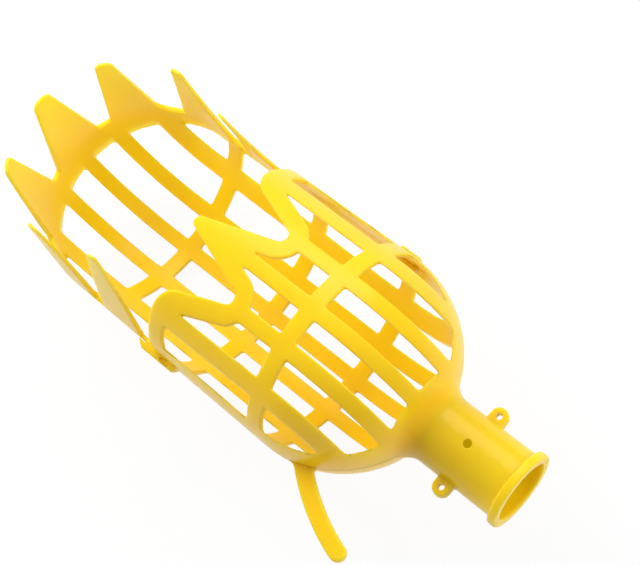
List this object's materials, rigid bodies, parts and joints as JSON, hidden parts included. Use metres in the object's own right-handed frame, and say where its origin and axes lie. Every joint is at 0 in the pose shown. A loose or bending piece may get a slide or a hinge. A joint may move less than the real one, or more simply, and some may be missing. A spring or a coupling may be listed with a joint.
{
  "type": "fruit picker head",
  "caption": "Two-part moulded fruit picker head: a slatted basket with a domed, toothed hood, a notched front crown, a branch hook and a split socket for a pole.",
  "frame": {"origin": "centre of the pole socket's mouth, on the plane where the two halves meet", "axes": "+Y along the pole axis towards the hood, +Z towards the open front, -X towards the branch hook"},
  "size_m": [0.1302, 0.2848, 0.1142],
  "materials": {
    "moulding": "satin"
  },
  "bodies": {
    "back_half": {"back_socket_half": "moulding", "back_bowl": "moulding", "back_left_rail": "moulding", "back_right_rail": "moulding", "back_lower_ring": "moulding", "back_middle_ring": "moulding", "back_upper_ring": "moulding", "back_bar_1": "moulding", "back_bar_2": "moulding", "back_bar_3": "moulding", "back_bar_4": "moulding", "back_bar_5": "moulding", "hood_arch": "moulding", "hood_tooth_1": "moulding", "hood_tooth_2": "moulding", "hood_tooth_3": "moulding", "hood_tooth_4": "moulding", "hood_tooth_5": "moulding", "hood_tooth_6": "moulding", "hood_tooth_7": "moulding", "branch_hook": "moulding", "back_left_ear": "moulding", "back_right_ear": "moulding", "lower_right_keeper": "moulding", "upper_left_keeper": "moulding", "upper_right_keeper": "moulding"},
    "front_half": {"front_socket_half": "moulding", "front_bowl": "moulding", "front_left_rail": "moulding", "front_right_rail": "moulding", "front_ring": "moulding", "front_bar_1": "moulding", "front_bar_2": "moulding", "front_bar_3": "moulding", "front_bar_4": "moulding", "front_bar_5": "moulding", "crown_left_shoulder": "moulding", "crown_tooth": "moulding", "crown_right_shoulder": "moulding", "front_left_ear": "moulding", "front_right_ear": "moulding"}
  },
  "joints": [
    {"name": "front_half_lift_off", "type": "slide", "parent": "back_half", "child": "front_half", "axis": [0, 0, 1], "range_m": [0, 0.1]}
  ]
}
